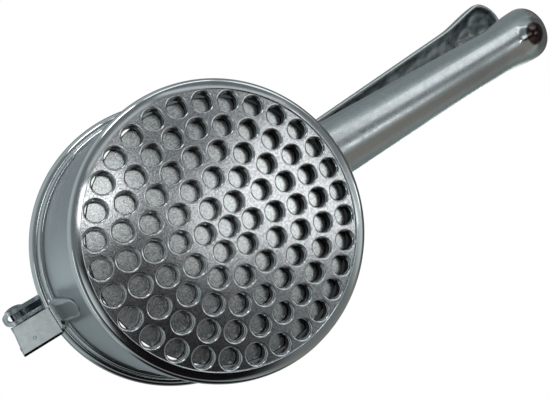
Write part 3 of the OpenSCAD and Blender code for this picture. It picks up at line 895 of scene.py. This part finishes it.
tent = linear("#B4BDBF")
for colour, middle, near, far in (
    # The table side is dim, and the pale tent has darker patches round the hinge and beside the handle
    ("#74787A", (0, 0, -1), 25, 80),
    ("#78827E", (0.20, 0.75, 0.62), 28, 54),
    ("#878C8B", (-0.66, 0.50, 0.56), 22, 42),
    ("#848E8F", (-0.33, 0.32, 0.89), 16, 23),
    ("#7D8486", (0.20, -0.55, 0.82), 26, 46),
    ("#858E90", (0.70, -0.70, 0.12), 12, 32),
    # A warm table edge beyond the handle, and a grey gap past its end
    ("#85827B", (0.45, 0.75, -0.50), 12, 40),
    ("#5C5D5B", (0.99, 0.10, 0.0), 34, 45),
    # Under the plate a dim sheet, a dark gap beside it and a pale corner towards the handle
    ("#6C7173", (0.28, -0.16, -1), 8, 16),
    ("#060607", (0.05, 0.13, -1), 7, 11),
    ("#0C0B0B", (0.09, 0.26, -1), 6, 11),
    ("#D2D8D8", (0.72, 0.30, -1), 5, 12),
    # A brown gap on the far side of the hinge, at its height and below it
    ("#1C1816", (-0.55, 0.83, -0.10), 22, 34),
    ("#141111", (-0.22, 0.36, -0.90), 14, 22),
    # Under the hinge a pale sheet with a dim edge, and a dark edge level with the tongue
    ("#DDE2E2", (-0.10, 0.06, -1), 3.5, 6.5),
    ("#3A3C3A", (-0.40, -0.03, -1), 4, 9),
    ("#0C0C0C", (-0.10, 0.97, 0.05), 10, 20),
):
    tent = add_zone(tree, tent, colour, middle, near, far)
seen = add_node(tree, "ShaderNodeLightPath")
white = add_node(tree, "ShaderNodeBackground", {"Color": (1, 1, 1, 1), "Strength": 1.0})
around = add_node(tree, "ShaderNodeBackground", {"Strength": 1.0}, Color=tent)
mix = add_node(tree, "ShaderNodeMixShader", {
    0: seen.outputs["Is Camera Ray"], 1: around.outputs["Background"], 2: white.outputs["Background"],
})
add_node(tree, "ShaderNodeOutputWorld", Surface=mix.outputs["Shader"])


def add_panel(name, where, target, along, width, height, glow):
    """Soft rectangular light at a place in millimetres, aimed at a target, its width along a direction."""
    lamp = bpy.data.lights.new(name, "AREA")
    lamp.shape = "RECTANGLE"
    lamp.size = width * MM
    lamp.size_y = height * MM
    lamp.energy = glow * math.pi * lamp.size * lamp.size_y
    panel = bpy.data.objects.new(name, lamp)
    back = (Vector(where) - Vector(target)).normalized()
    side = Vector(along) - back * back.dot(Vector(along))
    side.normalize()
    panel.matrix_world = Matrix((side, back.cross(side), back)).transposed().to_4x4()
    panel.location = Vector(where) * MM
    scene.collection.objects.link(panel)


# Panels under the press that show in the plate's face and in the flat of the foot
add_panel("broad_panel", (232, 36, -480), (0, 0, 0), (1, 0, 0), 100, 160, 1.1)
add_panel("tail_panel", (136, 26, -480), (0, 0, 0), (1, 0.2, 0), 88, 84, 1.0)
add_panel("streak_panel", (38, -58, -480), (0, 0, 0), (1, -0.6, 0), 60, 26, 3.0)
add_panel("foot_panel", (5, -66, -480), (0, 0, 0), (0.5, -0.86, 0), 44, 22, 2.6)
add_panel("foot_strip_left", (74, -119, -480), (0, 0, 0), (0.93, -0.3, 0), 110, 18, 0.5)
add_panel("foot_strip_right", (212, -108, -480), (0, 0, 0), (0.85, 0.53, 0), 170, 18, 0.6)
# Panels for the handle: its crease, its length and its boss
add_panel("crease_panel", (362, 109, -365), (60, 5, 46), (1, 0.3, 0), 110, 50, 1.6)
add_panel("long_panel", (550, -287, -336), (130, 0, 46), (1, 0, 0), 350, 330, 0.85)
add_panel("boss_panel", (220, -400, -245), (180, 0, 45), (1, 0, 0.35), 260, 70, 2.0)
# Panels for the edges of the holes, the edges at the hinge, and the upper side
add_panel("key_panel", (0, -480, -330), (0, 0, 0), (1, 0, 0), 150, 150, 4.5)
add_panel("edge_panel", (-480, -60, -300), (-45, 0, 30), (0, 1, 0), 300, 40, 2.0)
add_panel("top_panel", (500, 350, 700), (0, 0, 60), (1, 0, 0), 500, 500, 1.5)

# Floor
# A plain pale sheet of paper under the press.
# Its underside is clear, so that the low camera and the panels see through it.
FLOOR_HALF = 1500
floor_mesh = bpy.data.meshes.new("floor")
corners = [Vector((x, y, 0)) * FLOOR_HALF * MM for x, y in ((-1, -1), (1, -1), (1, 1), (-1, 1))]
floor_mesh.from_pydata(corners, [], [(0, 1, 2, 3)])
floor = bpy.data.objects.new("floor", floor_mesh)

# Matt paper: an even pale tone with a faint cloud of fibres, clear when seen from below
pale_paper = bpy.data.materials.new("pale_paper")
pale_paper.use_nodes = True
tree = pale_paper.node_tree
tree.nodes.clear()
place = add_node(tree, "ShaderNodeTexCoord").outputs["Object"]
fibre = add_node(tree, "ShaderNodeTexNoise", {"Scale": 1 / (30 * MM), "Detail": 3.0}, Vector=place)
tint = add_node(tree, "ShaderNodeValToRGB", Fac=fibre.outputs["Fac"])
tint.color_ramp.elements[0].color = linear("#F4F4F2")
tint.color_ramp.elements[1].color = linear("#FAFAF9")
matt = add_node(tree, "ShaderNodeBsdfDiffuse", Color=tint.outputs["Color"])
clear = add_node(tree, "ShaderNodeBsdfTransparent")
under = add_node(tree, "ShaderNodeNewGeometry").outputs["Backfacing"]
mix = add_node(tree, "ShaderNodeMixShader", {0: under, 1: matt.outputs["BSDF"], 2: clear.outputs["BSDF"]})
add_node(tree, "ShaderNodeOutputMaterial", Surface=mix.outputs["Shader"])
floor_mesh.materials.append(pale_paper)
floor.visible_glossy = False
floor.visible_diffuse = False
floor.visible_shadow = False
scene.collection.objects.link(floor)

# Camera
# Below the press and near its hinge, looking up at the perforated plate.
# Its place, aim and focal length give the photograph's view.
SENSOR = 36.0
PHOTO_W = 550
FOCAL_PIXELS = 600.9
NUDGE_PIXELS = 0.8
CLIP_START = 1.0
CAMERA_PLACE = (-44.13, -12.01, -156.52)
CAMERA_RIGHT = (0.79632, 0.49974, -0.34079)
CAMERA_LOOK = (0.35239, 0.07462, 0.93287)
camera = bpy.data.cameras.new("camera")
camera.sensor_width = SENSOR
camera.lens = SENSOR * FOCAL_PIXELS / PHOTO_W
camera.clip_start = CLIP_START * MM
camera_object = bpy.data.objects.new("camera", camera)
right = Vector(CAMERA_RIGHT)
look = Vector(CAMERA_LOOK)
look = (look + right.cross(look) * (NUDGE_PIXELS / FOCAL_PIXELS)).normalized()
stand = Matrix((right, right.cross(look), -look)).transposed().to_4x4()
stand.translation = Vector(CAMERA_PLACE) * MM
camera_object.matrix_world = stand
scene.collection.objects.link(camera_object)
scene.camera = camera_object
